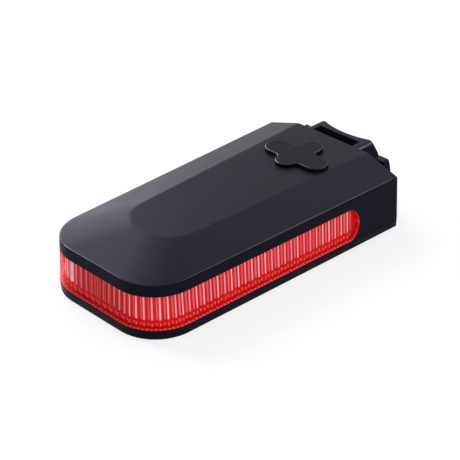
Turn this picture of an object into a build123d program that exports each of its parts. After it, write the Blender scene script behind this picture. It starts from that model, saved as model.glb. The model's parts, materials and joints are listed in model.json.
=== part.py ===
from build123d import *
import os
from math import atan2, cos, hypot, pi, radians, sin, tan

# Bike rear light lying on its flat face. A black case with one rounded end holds a red lens
# wrapped round that end and both sides. The square end carries a saddle for a seat post.
# Millimetres. +X runs from the rounded end to the post, +Y to the left of that, +Z is up.
# Pieces are drawn from the mount face, the flat square end: "back" is a distance from it towards
# the rounded end, "side" is along Y and "height" is above the flat face.

# Driving sizes of the case
body_length = 60.5
mount_width = 34.0
tip_width = 29.8
corner_radius = 8.65
parting_height = 2.0
shoulder_height = 10.8
plateau_height = 13.15
plateau_fall = 0.35
side_draft = 0.45
base_draft = 0.1
wall = 1.4
end_wall = 1.6
inner_shoulder_share = 0.75
roof_run = 4.5
roof_rise = 1.3
roof_step = 1.2
overrun = 1.0
fit_gap = 0.05
hidden_sides = 8

# Tongue-shaped flat on top
tongue_mount_width = 18.0
tongue_tip_width = 13.9
tongue_length = 49.4
tongue_corner_share = 0.495
shoulder_bevel = 0.25
tongue_round = 0.8

# Post saddle, strap slot and strap ears at the mount face
saddle_radius = 16.7
bar_reach = 3.3
hook_reach = 4.3
block_top_half = 6.4
block_low_half = 8.2
block_step_height = 11.05
block_round = 1.4
ear_thick = 1.6
ear_half = 10.4
ear_bulge = 1.1
ear_round = 0.7
slot_length = 10.2
slot_width = 2.25

# Lens window and lens
lens_top = 8.55
lens_middle = 5.2
lens_end_back = 10.2
lens_corner_back = 12.6
lens_thick = 1.9
lens_gap = 0.04
lip_reach = 0.8
lip_root = 0.4
lip_inset = 1.85
lip_thick = 0.37
flute_pitch = 1.6
flute_depth = 0.45

# Front cover
plate_thick = 1.6
rim_width = 1.75
base_bevel = 0.3
parting_bevel = 0.15
locating_lip_inset = 2.45
locating_lip_thick = 0.75
locating_lip_height = 3.0
seal_inset = 0.65
seal_width = 0.6
seal_depth = 0.45

# Light strip on its carrier
strip_inset = 3.6
strip_thick = 0.2
strip_low = 3.4
strip_high = 7.6
carrier_thick = 1.2
carrier_end_back = 10.2
carrier_top = 9.4
shelf_inset = 2.6
shelf_thick = 0.7
tail_reach = 1.4
led_length = 2.8
led_height = 2.2
led_depth = 0.7
led_pitch = 8.4

# Main board and its screws
board_inset = 5.25
board_end_inset = 2.4
board_low = 3.7
board_thick = 0.8
boss_radius = 2.0
boss_hole_radius = 0.75
screw_radius = 0.7
screw_head_radius = 1.5
screw_head_thick = 0.8
screw_point_height = 1.9
mount_screw_back = 16.5
mount_screw_inset = 8.2
tip_screw_back = 52.4

# Battery and what holds it
battery_back = 20.0
battery_length = 30.0
battery_side_room = 5.9
battery_thick = 5.0
battery_round = 1.6
tape_length = 27.0
tape_width = 14.0
tape_thick = 0.5
pad_length = 18.0
pad_width = 10.0
pad_gap = 0.1
protection_thick = 0.8
protection_width = 15.0
protection_height = 3.6
rib_thick = 0.8
rib_clearance = 0.25
tip_rib_half = 5.0
tip_rib_depth = 3.4
mount_rib_half = 3.0
mount_rib_depth = 2.0

# Battery socket and leads
socket_back = 12.0
socket_inset = 8.5
socket_length = 3.4
socket_width = 4.6
socket_height = 2.8
lead_radius = 0.4
lead_sides = 6
lead_spacing = 1.5
lead_rise = 1.7
cell_lead_inset = 10.8
cell_lead_height = 7.5
lead_end_run = 1.8
lead_bend_share = 0.45

# Charging socket, standing on the main board
port_back = 10.9
port_side = -0.7
usb_length = 7.5
usb_width = 2.5
usb_chamfer = 0.9
usb_wall = 0.25
usb_recess = 0.95
usb_core_height = 2.5
tongue_board_length = 4.2
tongue_board_width = 0.6
tongue_board_recess = 0.8
contact_count = 5
contact_width = 0.3
contact_thick = 0.1
contact_pitch = 0.65
contact_length = 3.4
port_length = 9.2
port_width = 4.2
port_corner = 1.2
collar_wall = 0.9
collar_depth = 1.3
gasket_height = 1.1
gasket_gap = 0.05

# Rubber cover of the charging socket
flap_length = 14.7
flap_width = 4.9
tab_width = 4.4
tab_reach = 4.9
anchor_reach = 6.4
lobe_notch_radius = 0.9
flap_thick = 0.7
flap_edge_bevel = 0.15
flap_gap = 0.05
hinge_reach = 2.7
hinge_gap = 0.05
anchor_bevel = 0.3
anchor_stem_radius = 0.8
anchor_stem_reach = 4.3
anchor_foot_radius = 1.1
anchor_foot_thick = 0.5
anchor_foot_gap = 0.05
plug_gap = 0.22
plug_depth = 0.8
plug_taper = 8
nail_reach = 1.6
nail_lift = 0.3

# Power button in the front cover
button_back = 30.0
dish_radius = 6.6
dish_depth = 0.4
button_radius = 4.5
button_gap = 0.15
button_recess = 0.1
button_bevel = 0.25
button_travel = 0.3
button_shoulder_radius = 5.4
button_shoulder_thick = 0.6
button_ring_radius = 2.6
button_ring_width = 0.5
button_ring_depth = 0.12
nub_radius = 1.2
retainer_wall = 1.45
retainer_lip_thick = 0.35

# Tact switch on the underside of the main board
switch_size = 4.0
switch_thick = 0.75
plunger_radius = 1.0
plunger_length = 0.62
plunger_out = 0.42
switch_bore_depth = 0.56
terminal_width = 0.5
terminal_reach = 0.6
terminal_thick = 0.15
terminal_spacing = 2.6

# Charge light and its clear pin
status_back = 42.0
status_length = 1.6
status_width = 0.8
status_thick = 0.6
pipe_radius = 1.0
pipe_flange_radius = 1.6
pipe_flange_thick = 0.5
pipe_gap = 0.15

# Chips and passive parts on the main board
chip_row_back = 5.4
controller_inset = 9.8
controller_size = (3.9, 4.9, 1.4)
controller_leg_width = 0.4
controller_leg_reach = 0.9
controller_leg_thick = 0.2
controller_leg_pitch = 1.27
controller_leg_count = 4
charger_side = 0.4
charger_size = (1.6, 2.9, 1.1)
inductor_inset = 10.0
inductor_size = (3.2, 3.2, 1.6)
inductor_core_share = 0.38
inductor_dish_depth = 0.1
capacitor_back = 15.6
capacitor_count = 4
capacitor_pitch = 2.0
capacitor_gap = 1.2
capacitor_length = 1.6
capacitor_width = 0.8

# Places worked out from the sizes above
side_lean = (mount_width - tip_width) / 2 / body_length
side_run = hypot(1, side_lean)
face_x = (body_length - hook_reach) / 2
inner_shoulder_height = shoulder_height - inner_shoulder_share * wall
carrier_inset = strip_inset + strip_thick
board_top = board_low + board_thick
battery_low = board_top + tape_thick
battery_top = battery_low + battery_thick
battery_middle = battery_back + battery_length / 2
plateau_lean = atan2(plateau_fall, tongue_length)
hinge_back = port_back - hinge_reach
plunger_low = board_low - switch_thick - plunger_out
half_mount = mount_width / 2
mount_screw_side = half_mount - mount_screw_inset
battery_width = tip_width - 2 * battery_side_room
socket_side = half_mount - socket_inset
cell_lead_side = half_mount - cell_lead_inset
controller_side = controller_inset - half_mount
inductor_side = half_mount - inductor_inset
retainer_radius = button_shoulder_radius + button_gap + retainer_wall

seated = (Align.CENTER, Align.CENTER, Align.MIN)
hung = (Align.CENTER, Align.CENTER, Align.MAX)


def at(back, side, height):
    """Place on the light, told from the mount face, the middle and the flat face."""
    return Pos(-back, side, height)


def half_width(back, inset):
    """Half width of the case at a distance back, drawn in by inset."""
    return mount_width / 2 - back * side_lean - inset * side_run


def plateau_at(back):
    """Height of the sloping flat on top."""
    return plateau_height - plateau_fall * back / tongue_length


def on_slope(back, side, lift):
    """Plane that slopes as the flat on top does, lifted above it at one place."""
    return Plane(
        origin=(-back, side, plateau_at(back) + lift),
        x_dir=(cos(plateau_lean), 0, sin(plateau_lean)),
        z_dir=(-sin(plateau_lean), 0, cos(plateau_lean)),
    )


def rounded_path(near, far, near_half, far_half, radius):
    """U-shaped path from the mount side round the rounded end and back."""
    return FilletPolyline(
        (-near, -near_half),
        (-far, -far_half),
        (-far, far_half),
        (-near, near_half),
        radius=radius,
    )


def u_path(inset, start):
    """Path that runs parallel to the case's outline, starting at a distance back."""
    far = body_length - inset
    return rounded_path(start, far, half_width(start, inset), half_width(far, inset), corner_radius - inset)


def closed(path):
    """Face inside a U-shaped path, closed straight across its ends."""
    return make_face(path.edges() + Line(path @ 1, path @ 0).edges())


def outline(inset, end_inset, height):
    """Plan view of the case at a height, drawn in by inset and by end_inset at the mount face."""
    return Pos(0, 0, height) * closed(u_path(inset, end_inset))


def prism(face, low, high):
    """Upright solid on a plan face between two heights."""
    return extrude(Pos(0, 0, low) * face, high - low, dir=(0, 0, 1))


def plan_prism(inset, end_inset, low, high):
    """Upright solid with the case's plan, drawn in, between two heights."""
    return prism(outline(inset, end_inset, 0), low, high)


def band(outer_inset, inner_inset, start, low, high):
    """Upright U-shaped wall between two insets."""
    outer = u_path(outer_inset, start)
    inner = u_path(inner_inset, start)
    ends = Line(outer @ 0, inner @ 0).edges() + Line(outer @ 1, inner @ 1).edges()
    return prism(make_face(outer.edges() + inner.edges() + ends), low, high)


def box_on(size, back, side, low):
    """Block standing at a height, its size told along X, Y and Z."""
    return at(back, side, low) * Box(*size, align=seated)


def post(radius, back, side, low, high):
    """Upright round solid."""
    return at(back, side, low) * Cylinder(radius, high - low, align=seated)


def peg(radius, back, side, low, high):
    """Upright many-sided solid, for small round forms that stay out of sight."""
    return prism(at(back, side, 0) * RegularPolygon(radius, hidden_sides), low, high)


# The case, outside and inside


def tongue(drop, narrow):
    """Tongue-shaped flat, lowered by drop and narrowed by narrow, on its sloping plane."""
    return on_slope(0, 0, -drop) * closed(
        rounded_path(
            0,
            tongue_length - narrow,
            tongue_mount_width / 2 - narrow,
            tongue_tip_width / 2 - narrow,
            tongue_corner_share * tongue_tip_width - narrow,
        )
    )


def case_outside():
    """Solid with the shell's outer form: drafted sides, sloping shoulders and the tongue."""
    foot = outline(0, 0, parting_height)
    brow = outline(side_draft, 0, shoulder_height - shoulder_bevel)
    shoulder = outline(side_draft + shoulder_bevel, 0, shoulder_height)
    sides = loft([foot, brow], ruled=True)
    edge = loft([brow, shoulder], ruled=True)
    top = loft([shoulder, tongue(0, 0)], ruled=True)
    return (sides + edge + top).clean()


def case_inside():
    """Room inside the shell, open below, with a raised part under the tongue."""
    foot = outline(wall, 0, parting_height)
    brow = outline(side_draft + wall, 0, inner_shoulder_height)
    eave = outline(side_draft + wall + roof_run, 0, inner_shoulder_height + roof_rise)
    sides = loft([foot, brow], ruled=True)
    slope = loft([brow, eave], ruled=True)
    middle = extrude(tongue(wall, wall), -roof_step)
    below = plan_prism(wall, 0, parting_height - overrun, parting_height)
    size = (body_length, 2 * mount_width, plateau_height + overrun)
    trim = box_on(size, body_length / 2 + end_wall, 0, 0)
    return (sides + slope + middle + below) & trim


def window(grow):
    """Block through the case with the lens's side view, grown all round by grow."""
    low = 2 * lens_middle - lens_top
    far = body_length + overrun
    rim = Polyline(
        (-lens_corner_back, lens_top),
        (-far, lens_top),
        (-far, low),
        (-lens_corner_back, low),
    )
    end = ThreePointArc(rim @ 0, (-lens_end_back, lens_middle), rim @ 1)
    side_view = make_face(rim.edges() + end.edges())
    if grow:
        side_view = offset(side_view, grow)
    return extrude(Plane.XZ * side_view, mount_width, both=True)


def mount_block():
    """Block with the post saddle, and the plate whose ends are the strap ears."""
    low = parting_height
    top = plateau_height
    middle = (block_step_height + low) / 2
    block_view = FilletPolyline(
        (-block_low_half, low),
        (-block_low_half, block_step_height),
        (-block_top_half, top),
        (block_top_half, top),
        (block_low_half, block_step_height),
        (block_low_half, low),
        radius=(0, block_round, block_round, 0),
    )
    block_face = make_face(block_view.edges() + Line(block_view @ 1, block_view @ 0).edges())
    block = extrude(Plane.YZ * block_face, hook_reach, dir=(1, 0, 0))
    right = ThreePointArc(
        (-ear_half, block_step_height), (-ear_half - ear_bulge, middle), (-ear_half, low)
    )
    left = ThreePointArc((ear_half, low), (ear_half + ear_bulge, middle), (ear_half, block_step_height))
    rails = Line(right @ 1, left @ 0).edges() + Line(left @ 1, right @ 0).edges()
    ear_view = make_face(right.edges() + left.edges() + rails)
    ear_view = fillet(ear_view.vertices(), ear_round)
    plate = Pos(hook_reach - ear_thick, 0, 0) * extrude(Plane.YZ * ear_view, ear_thick, dir=(1, 0, 0))
    saddle = post(saddle_radius, -bar_reach - saddle_radius, 0, low - overrun, top + overrun)
    slot = box_on((slot_width, slot_length, top + overrun), -slot_width / 2, 0, 0)
    return block + plate - saddle - slot


def port_opening(low, high):
    """Hole for the charging socket, with rounded corners."""
    mouth = RectangleRounded(port_width, port_length, port_corner)
    return prism(at(port_back, port_side, 0) * mouth, low, high)


def housing_ribs():
    """Ribs under the roof that stop the battery at both ends."""
    far = battery_back + battery_length + rib_clearance + rib_thick / 2
    near = battery_back - protection_thick - rib_clearance - rib_thick / 2
    roof = plateau_at(far) - wall / 2
    tip_rib = at(far, 0, roof) * Box(rib_thick, 2 * tip_rib_half, tip_rib_depth, align=hung)
    mount_rib = at(near, 0, roof) * Box(rib_thick, 2 * mount_rib_half, mount_rib_depth, align=hung)
    return tip_rib + mount_rib


def anchor_place(form, radius, low, high):
    """Post or peg on the axis of the port cover's fixed stem."""
    return form(radius, port_back - anchor_stem_reach, port_side, low, high)


def rear_housing():
    """Shell with roof, walls, lens window, socket collar and mount block."""
    shell = case_outside()
    crease = shell.edges().filter_by(lambda e: e.center().Z > shoulder_height + overrun)
    crease = crease.filter_by(lambda e: e.center().X < -fit_gap)
    shell = fillet(crease, tongue_round)
    roof = plateau_at(port_back) - wall
    collar = prism(
        at(port_back, port_side, 0)
        * RectangleRounded(
            port_width + 2 * collar_wall, port_length + 2 * collar_wall, port_corner + collar_wall
        ),
        roof - collar_depth,
        roof + wall / 2,
    )
    shell = shell - case_inside() - window(0) + collar + housing_ribs() + mount_block()
    shell -= port_opening(roof - collar_depth - overrun, plateau_height + overrun)
    shell -= anchor_place(post, anchor_stem_radius + fit_gap, roof - overrun, plateau_height + overrun)
    return shell


# Lens


def flute_core(low, high):
    """Space inside the lens: its wall has a row of upright prisms."""
    valley = u_path(lens_thick, lens_end_back - lip_reach)
    count = round(valley.length / flute_pitch)
    points = []
    for step in range(count):
        along = valley % ((step + 0.5) / count)
        crest = Vector(along.Y, -along.X, 0) * flute_depth
        points.append(valley @ (step / count))
        points.append(valley @ ((step + 0.5) / count) + crest)
    points.append(valley @ 1)
    return prism(make_face(Polyline(*points, close=True)), low, high)


def lens_band():
    """Red lens: outer face flush with the case, fluted inside, with a lip behind the wall."""
    above = plateau_height
    start = lens_end_back - lip_reach
    body = case_outside() & window(-lens_gap)
    lens = body - flute_core(parting_height - overrun, above)
    ring = window(lip_reach) - window(-lip_root)
    lip = band(lip_inset, lip_inset + lip_thick, start, parting_height, above) & ring
    return lens + lip


# Front cover and seal


def board_screw_places():
    """Where the board screws stand, as back and side."""
    return (
        (mount_screw_back, -mount_screw_side),
        (mount_screw_back, mount_screw_side),
        (tip_screw_back, 0),
    )


def front_cover():
    """Lid with rim, seal groove, locating lip, screw bosses and the button's opening."""
    bevel_low = parting_height - parting_bevel
    floor = outline(base_draft + base_bevel, base_bevel, 0)
    foot = outline(base_draft, 0, base_bevel)
    brim = outline(0, 0, bevel_low)
    top = outline(parting_bevel, parting_bevel, parting_height)
    plate = loft([floor, foot], ruled=True) + loft([foot, brim], ruled=True)
    plate += loft([brim, top], ruled=True)
    plate -= plan_prism(rim_width, rim_width, plate_thick, parting_height + overrun)
    plate -= seal_ring(seal_inset - fit_gap, seal_width + 2 * fit_gap, seal_depth + fit_gap, overrun)
    lip_inner = locating_lip_inset + locating_lip_thick
    lip = plan_prism(locating_lip_inset, locating_lip_inset, plate_thick, locating_lip_height)
    lip -= plan_prism(lip_inner, lip_inner, plate_thick - overrun, locating_lip_height + overrun)
    plate += lip
    for back, side in board_screw_places():
        plate += peg(boss_radius, back, side, plate_thick, board_low)
        plate -= peg(boss_hole_radius, back, side, plate_thick / 2, board_low + overrun)
    dish = post(dish_radius, button_back, 0, -overrun, dish_depth)
    hole = post(button_radius + button_gap, button_back, 0, -overrun, plate_thick + overrun)
    pipe_hole = post(pipe_radius + fit_gap, status_back, 0, -overrun, plate_thick + overrun)
    return plate - dish - hole - pipe_hole


def seal_ring(inset, width, depth, rise):
    """Closed ring round the cover's rim, ending rise above the parting line."""
    low = parting_height - depth
    outer = plan_prism(inset, inset, low, parting_height + rise)
    inner = plan_prism(inset + width, inset + width, low - overrun, parting_height + rise + overrun)
    return outer - inner


# Light strip and carrier


def led_carrier():
    """White U-shaped wall with an outward shelf above the strip."""
    upright = band(carrier_inset, carrier_inset + carrier_thick, carrier_end_back, plate_thick, carrier_top)
    shelf_low = carrier_top - shelf_thick
    shelf = band(shelf_inset, carrier_inset + fit_gap, carrier_end_back, shelf_low, carrier_top)
    return upright + shelf


def led_strip():
    """Thin flexible strip round the carrier, with a tail that stands on the board."""
    strip = band(strip_inset, carrier_inset, carrier_end_back, strip_low, strip_high)
    outer = half_width(carrier_end_back, strip_inset)
    inner = half_width(carrier_end_back, carrier_inset + carrier_thick + tail_reach)
    tail = at(carrier_end_back, (outer + inner) / 2, board_top) * Box(
        strip_thick, outer - inner, strip_high - board_top, align=(Align.MIN, Align.CENTER, Align.MIN)
    )
    return strip + tail


def side_leds():
    """Light-emitting diodes in a row along the strip, facing outwards."""
    path = u_path(strip_inset - led_depth / 2, carrier_end_back)
    count = round(path.length / led_pitch)
    leds = []
    for step in range(count):
        middle = (step + 0.5) / count
        along = path % middle
        centre = path @ middle + Vector(0, 0, (strip_low + strip_high) / 2)
        place = Plane(origin=centre, x_dir=along, z_dir=(0, 0, 1))
        leds.append(place * Box(led_length, led_depth, led_height))
    return Compound(leds)


# Boards, battery and small electronics


def main_board():
    """Circuit board with its screw holes."""
    board = plan_prism(board_inset, board_end_inset, board_low, board_top)
    for back, side in board_screw_places():
        board -= peg(screw_radius + fit_gap, back, side, board_low - overrun, board_top + overrun)
    return board


def board_screws():
    """The screws that hold the board, with plain pan heads."""
    screws = []
    for back, side in board_screw_places():
        screw = peg(screw_radius, back, side, screw_point_height, board_top)
        screw += peg(screw_head_radius, back, side, board_top, board_top + screw_head_thick)
        screws.append(screw)
    return Compound(screws)


def battery_cell():
    """Flat cell with rounded long edges."""
    section = RectangleRounded(battery_width, battery_thick, battery_round)
    cell = extrude(Plane.YZ * section, battery_length, dir=(-1, 0, 0))
    return at(battery_back, 0, battery_low + battery_thick / 2) * cell


def battery_pad():
    """Foam between the cell and the roof, just clear of the roof where that is lowest."""
    roof = plateau_at(battery_middle + pad_length / 2) - wall
    return box_on((pad_length, pad_width, roof - pad_gap - battery_top), battery_middle, 0, battery_top)


def protection_board():
    """Small board on the near end of the cell."""
    low = battery_low + (battery_thick - protection_height) / 2
    size = (protection_thick, protection_width, protection_height)
    return box_on(size, battery_back - protection_thick / 2, 0, low)


def battery_socket():
    """Closed case of the two-pin socket that the battery leads run into."""
    return box_on((socket_length, socket_width, socket_height), socket_back, socket_side, board_top)


def battery_lead(turn):
    """Short lead from the protection board to the socket; turn is -1 or 1 for the two leads."""
    socket_face = socket_back + socket_length / 2
    cell_face = battery_back - protection_thick
    cell_side = cell_lead_side + turn * lead_spacing / 2
    end_side = socket_side + turn * lead_spacing / 2
    end_height = board_top + lead_rise
    points = (
        (-cell_face, cell_side, cell_lead_height),
        (-cell_face + lead_end_run, cell_side, cell_lead_height),
        (-socket_face - lead_end_run, end_side, end_height),
        (-socket_face, end_side, end_height),
    )
    first = Vector(points[1]) - Vector(points[0])
    second = Vector(points[2]) - Vector(points[1])
    bend = first.get_angle(second) / 2
    radius = lead_bend_share * lead_end_run / tan(radians(bend))
    route = FilletPolyline(*points, radius=radius)
    print("lead", turn, "bend radius", round(radius, 2))
    section = RegularPolygon(lead_radius, lead_sides)
    return sweep(Plane(origin=route @ 0, z_dir=route % 0) * section, path=route)


def controller_chip():
    """Chip with a row of flat legs along both of its long sides."""
    chip = box_on(controller_size, chip_row_back, controller_side, board_top)
    reach = controller_size[0] / 2 + controller_leg_reach / 2
    leg = (controller_leg_reach + 2 * fit_gap, controller_leg_width, controller_leg_thick)
    for turn in (-1, 1):
        for step in range(controller_leg_count):
            along = (step - (controller_leg_count - 1) / 2) * controller_leg_pitch
            chip += box_on(leg, chip_row_back + turn * reach, controller_side + along, board_top)
    return chip


def charger_chip():
    """Small chip that charges the cell."""
    return box_on(charger_size, chip_row_back, charger_side, board_top)


def power_inductor():
    """Square coil with a shallow round dish in its top."""
    length, width, height = inductor_size
    top = board_top + height
    coil = box_on(inductor_size, chip_row_back, inductor_side, board_top)
    radius = length * inductor_core_share
    return coil - post(radius, chip_row_back, inductor_side, top - inductor_dish_depth, top + overrun)


def chip_capacitors():
    """A row of small capacitors."""
    row = []
    for step in range(capacitor_count):
        side = socket_side - socket_width / 2 - capacitor_gap - step * capacitor_pitch
        size = (capacitor_length, capacitor_width, capacitor_width)
        row.append(box_on(size, capacitor_back, side, board_top))
    return Compound(row)


# Charging socket


def usb_outline(inset):
    """Mouth of the socket: a rectangle with two corners cut away, drawn in by inset."""
    half_length = usb_length / 2 - inset
    half = usb_width / 2 - inset
    cut = usb_chamfer
    corners = (
        (half, -half_length),
        (half, half_length),
        (cut - half, half_length),
        (-half, half_length - cut),
        (-half, cut - half_length),
        (cut - half, -half_length),
    )
    return at(port_back, port_side, 0) * make_face(Polyline(*corners, close=True))


def usb_top():
    """Height of the socket's mouth."""
    return plateau_at(port_back) - usb_recess


def usb_shell():
    """Steel shell, a plain tube standing on the board."""
    outside = prism(usb_outline(0), board_top, usb_top())
    return outside - prism(usb_outline(usb_wall), board_top - overrun, usb_top() + overrun)


def usb_tongue():
    """Plastic core in the shell, with the tongue that carries the contacts."""
    core_top = board_top + usb_core_height
    core = prism(usb_outline(usb_wall), board_top, core_top)
    height = usb_top() - tongue_board_recess - core_top
    size = (tongue_board_width, tongue_board_length, height)
    return core + box_on(size, port_back, port_side, core_top)


def usb_contacts():
    """A row of flat contacts on the tongue."""
    top = usb_top() - tongue_board_recess
    size = (contact_thick, contact_width, contact_length)
    contacts = []
    for step in range(contact_count):
        side = port_side + (step - (contact_count - 1) / 2) * contact_pitch
        back = port_back - tongue_board_width / 2 - contact_thick / 2
        contacts.append(box_on(size, back, side, top - contact_length))
    return Compound(contacts)


def port_gasket():
    """Rubber ring that fills the collar round the socket's shell."""
    low = plateau_at(port_back) - wall - collar_depth
    outer = RectangleRounded(
        port_width - 2 * gasket_gap, port_length - 2 * gasket_gap, port_corner - gasket_gap
    )
    ring = prism(at(port_back, port_side, 0) * outer, low, low + gasket_height)
    return ring - prism(usb_outline(-gasket_gap), low - overrun, low + gasket_height + overrun)


# Rubber cover of the charging socket


def lobe_outline():
    """Four-lobed outline: one long lobe across the case, one along it, with soft notches."""
    across = SlotOverall(flap_length, flap_width, rotation=90)
    along_length = tab_reach + anchor_reach
    along = Pos((anchor_reach - tab_reach) / 2, 0) * SlotOverall(along_length, tab_width)
    return offset(offset(across + along, lobe_notch_radius), -lobe_notch_radius)


def lobe_plate():
    """Plate of the rubber cover, flap and anchor together."""
    plate = extrude(on_slope(port_back, port_side, flap_gap) * lobe_outline(), flap_thick)
    top = plate.faces().sort_by(Axis.Z)[-1]
    return chamfer(top.edges(), flap_edge_bevel)


def hinge_height():
    """Height of the flap's turning axis, in the middle of the plate."""
    return plateau_at(hinge_back) + flap_gap + flap_thick / 2


def port_cover():
    """Flap with a rounded hinge edge, a plug below it and a nail lift under the tab."""
    radius = flap_thick / 2
    keep = box_on(
        (body_length, mount_width, 2 * plateau_height), hinge_back + body_length / 2, port_side, 0
    )
    plate = lobe_plate() & keep
    knuckle = at(hinge_back, port_side, hinge_height()) * Rot(90, 0, 0) * Cylinder(radius, tab_width)
    plug_face = RectangleRounded(
        port_width - 2 * plug_gap, port_length - 2 * plug_gap, port_corner - plug_gap
    )
    plug_place = on_slope(port_back, port_side, flap_gap + fit_gap)
    plug = extrude(plug_place * plug_face, -plug_depth - fit_gap, taper=plug_taper)
    nail = at(port_back + tab_reach, port_side, plateau_at(port_back + tab_reach)) * Box(
        2 * nail_reach, mount_width, 2 * (nail_lift + flap_gap)
    )
    return plate + knuckle + plug - nail


def port_cover_anchor():
    """Fixed lobe with a stem through the roof and a foot that holds it from below."""
    edge = hinge_back - flap_thick / 2 - hinge_gap
    keep = box_on((edge, mount_width, 2 * plateau_height), edge / 2, port_side, 0)
    top = plateau_at(edge) + flap_gap + flap_thick
    wedge_view = Polyline(
        (-edge - overrun, top - anchor_bevel - overrun),
        (-edge + anchor_bevel + overrun, top + overrun),
        (-edge - overrun, top + overrun),
        close=True,
    )
    wedge = extrude(Plane.XZ * make_face(wedge_view), mount_width, both=True)
    lobe = (lobe_plate() & keep) - wedge
    roof = plateau_at(port_back - anchor_stem_reach)
    foot_top = roof - wall - anchor_foot_gap
    foot_low = foot_top - anchor_foot_thick
    stem = anchor_place(post, anchor_stem_radius, foot_top, roof + flap_thick / 2)
    foot = anchor_place(peg, anchor_foot_radius, foot_low, foot_top)
    return lobe + stem + foot


# Power button, switch and charge light


def power_button():
    """Rubber button: cap in the cover, shoulder behind it and a nub for the switch."""
    shoulder_low = plate_thick + fit_gap
    shoulder_high = shoulder_low + button_shoulder_thick
    button = post(button_radius, button_back, 0, button_recess, shoulder_low)
    button = chamfer(button.edges().group_by(Axis.Z)[0], button_bevel)
    button += peg(button_shoulder_radius, button_back, 0, shoulder_low, shoulder_high)
    button += peg(nub_radius, button_back, 0, shoulder_high, plunger_low - fit_gap)
    ring_low = button_recess - overrun
    ring = post(button_ring_radius, button_back, 0, ring_low, button_recess + button_ring_depth)
    ring -= post(button_ring_radius - button_ring_width, button_back, 0, ring_low - overrun, plate_thick)
    return button - ring


def button_retainer():
    """Many-sided ring on the cover that keeps the button's shoulder in."""
    spread = 1 / cos(pi / hidden_sides)
    pocket = (button_shoulder_radius + button_gap) * spread
    lip_low = plate_thick + 2 * fit_gap + button_shoulder_thick + button_travel + button_gap
    lip_high = lip_low + retainer_lip_thick
    ring = peg(retainer_radius, button_back, 0, plate_thick, lip_high)
    ring -= peg(pocket, button_back, 0, plate_thick - overrun, lip_low)
    return ring - peg(button_radius, button_back, 0, lip_low - overrun, lip_high + overrun)


def switch_case():
    """Case of the tact switch under the board, with the plunger's bore."""
    low = board_low - switch_thick
    case = box_on((switch_size, switch_size, switch_thick), button_back, 0, low)
    return case - post(plunger_radius + fit_gap, button_back, 0, low - overrun, low + switch_bore_depth)


def switch_plunger():
    """Round plunger that the button's nub presses."""
    return post(plunger_radius, button_back, 0, plunger_low, plunger_low + plunger_length)


def switch_terminals():
    """Four flat legs of the switch under the board."""
    legs = []
    reach = switch_size / 2 + terminal_reach / 2
    for turn in (-1, 1):
        for side in (-terminal_spacing / 2, terminal_spacing / 2):
            leg = (terminal_reach, terminal_width, terminal_thick)
            legs.append(box_on(leg, button_back + turn * reach, side, board_low - terminal_thick))
    return Compound(legs)


def status_led():
    """Small diode under the board."""
    return box_on((status_length, status_width, status_thick), status_back, 0, board_low - status_thick)


def light_pipe():
    """Clear pin through the cover, with a flange inside."""
    top = board_low - status_thick - pipe_gap
    pin = post(pipe_radius, status_back, 0, 0, top)
    return pin + peg(pipe_flange_radius, status_back, 0, plate_thick, plate_thick + pipe_flange_thick)


pieces = {
    "rear_housing": rear_housing(),
    "front_cover": front_cover(),
    "lens_band": lens_band(),
    "perimeter_seal": seal_ring(seal_inset, seal_width, seal_depth, 0),
    "led_carrier": led_carrier(),
    "led_strip": led_strip(),
    "side_leds": side_leds(),
    "main_board": main_board(),
    "board_screws": board_screws(),
    "battery_cell": battery_cell(),
    "battery_tape": box_on((tape_length, tape_width, tape_thick), battery_middle, 0, board_top),
    "battery_pad": battery_pad(),
    "protection_board": protection_board(),
    "battery_socket": battery_socket(),
    "lead_positive": battery_lead(1),
    "lead_negative": battery_lead(-1),
    "controller_chip": controller_chip(),
    "charger_chip": charger_chip(),
    "power_inductor": power_inductor(),
    "chip_capacitors": chip_capacitors(),
    "usb_shell": usb_shell(),
    "usb_tongue": usb_tongue(),
    "usb_contacts": usb_contacts(),
    "port_gasket": port_gasket(),
    "port_cover": port_cover(),
    "port_cover_anchor": port_cover_anchor(),
    "power_button": power_button(),
    "button_retainer": button_retainer(),
    "switch_case": switch_case(),
    "switch_plunger": switch_plunger(),
    "switch_terminals": switch_terminals(),
    "status_led": status_led(),
    "light_pipe": light_pipe(),
}

os.makedirs("parts", exist_ok=True)
for node, shape in pieces.items():
    export_step(Pos(face_x, 0, 0) * shape, os.path.join("parts", node + ".step"))
print("hinge axis of the port cover", round(face_x - hinge_back, 4), round(hinge_height(), 4))
print("pieces written", len(pieces))
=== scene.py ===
# %% [markdown]
# A rechargeable bicycle rear light. The imported model gives each piece its place and size, so this
# notebook only dresses it and builds finer meshes for case, lens and rubber cover.

import json
import math

import bmesh
import bpy
from mathutils import Matrix, Vector


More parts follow.
